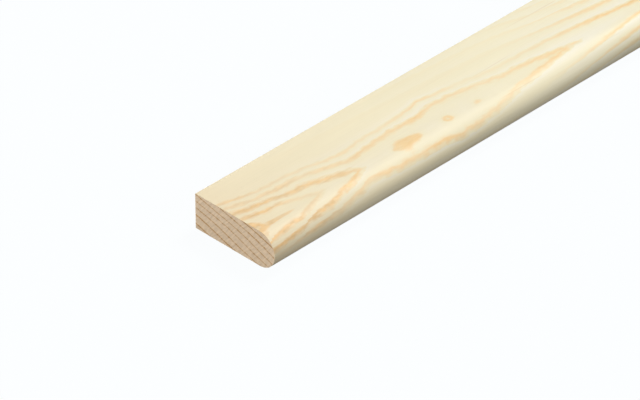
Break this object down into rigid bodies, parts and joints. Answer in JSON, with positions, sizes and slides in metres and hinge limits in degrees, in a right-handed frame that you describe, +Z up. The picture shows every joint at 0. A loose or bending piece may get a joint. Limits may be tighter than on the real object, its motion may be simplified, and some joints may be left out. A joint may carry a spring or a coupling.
{
  "type": "parting bead",
  "caption": "Straight planed softwood strip, one long edge square to sit in a groove and the other fully half-rounded, that parts the sliding sashes of a sash window.",
  "frame": {"origin": "on the flat underside, midway along the length and midway across the overall width", "axes": "+X along the strip, +Y across its width towards the square edge so the rounded edge faces -Y, +Z up through its thickness"},
  "size_m": [2.4, 0.021, 0.008],
  "materials": {
    "planed_pine": "matte"
  },
  "bodies": {
    "root": {"parting_bead": "planed_pine"}
  },
  "joints": []
}
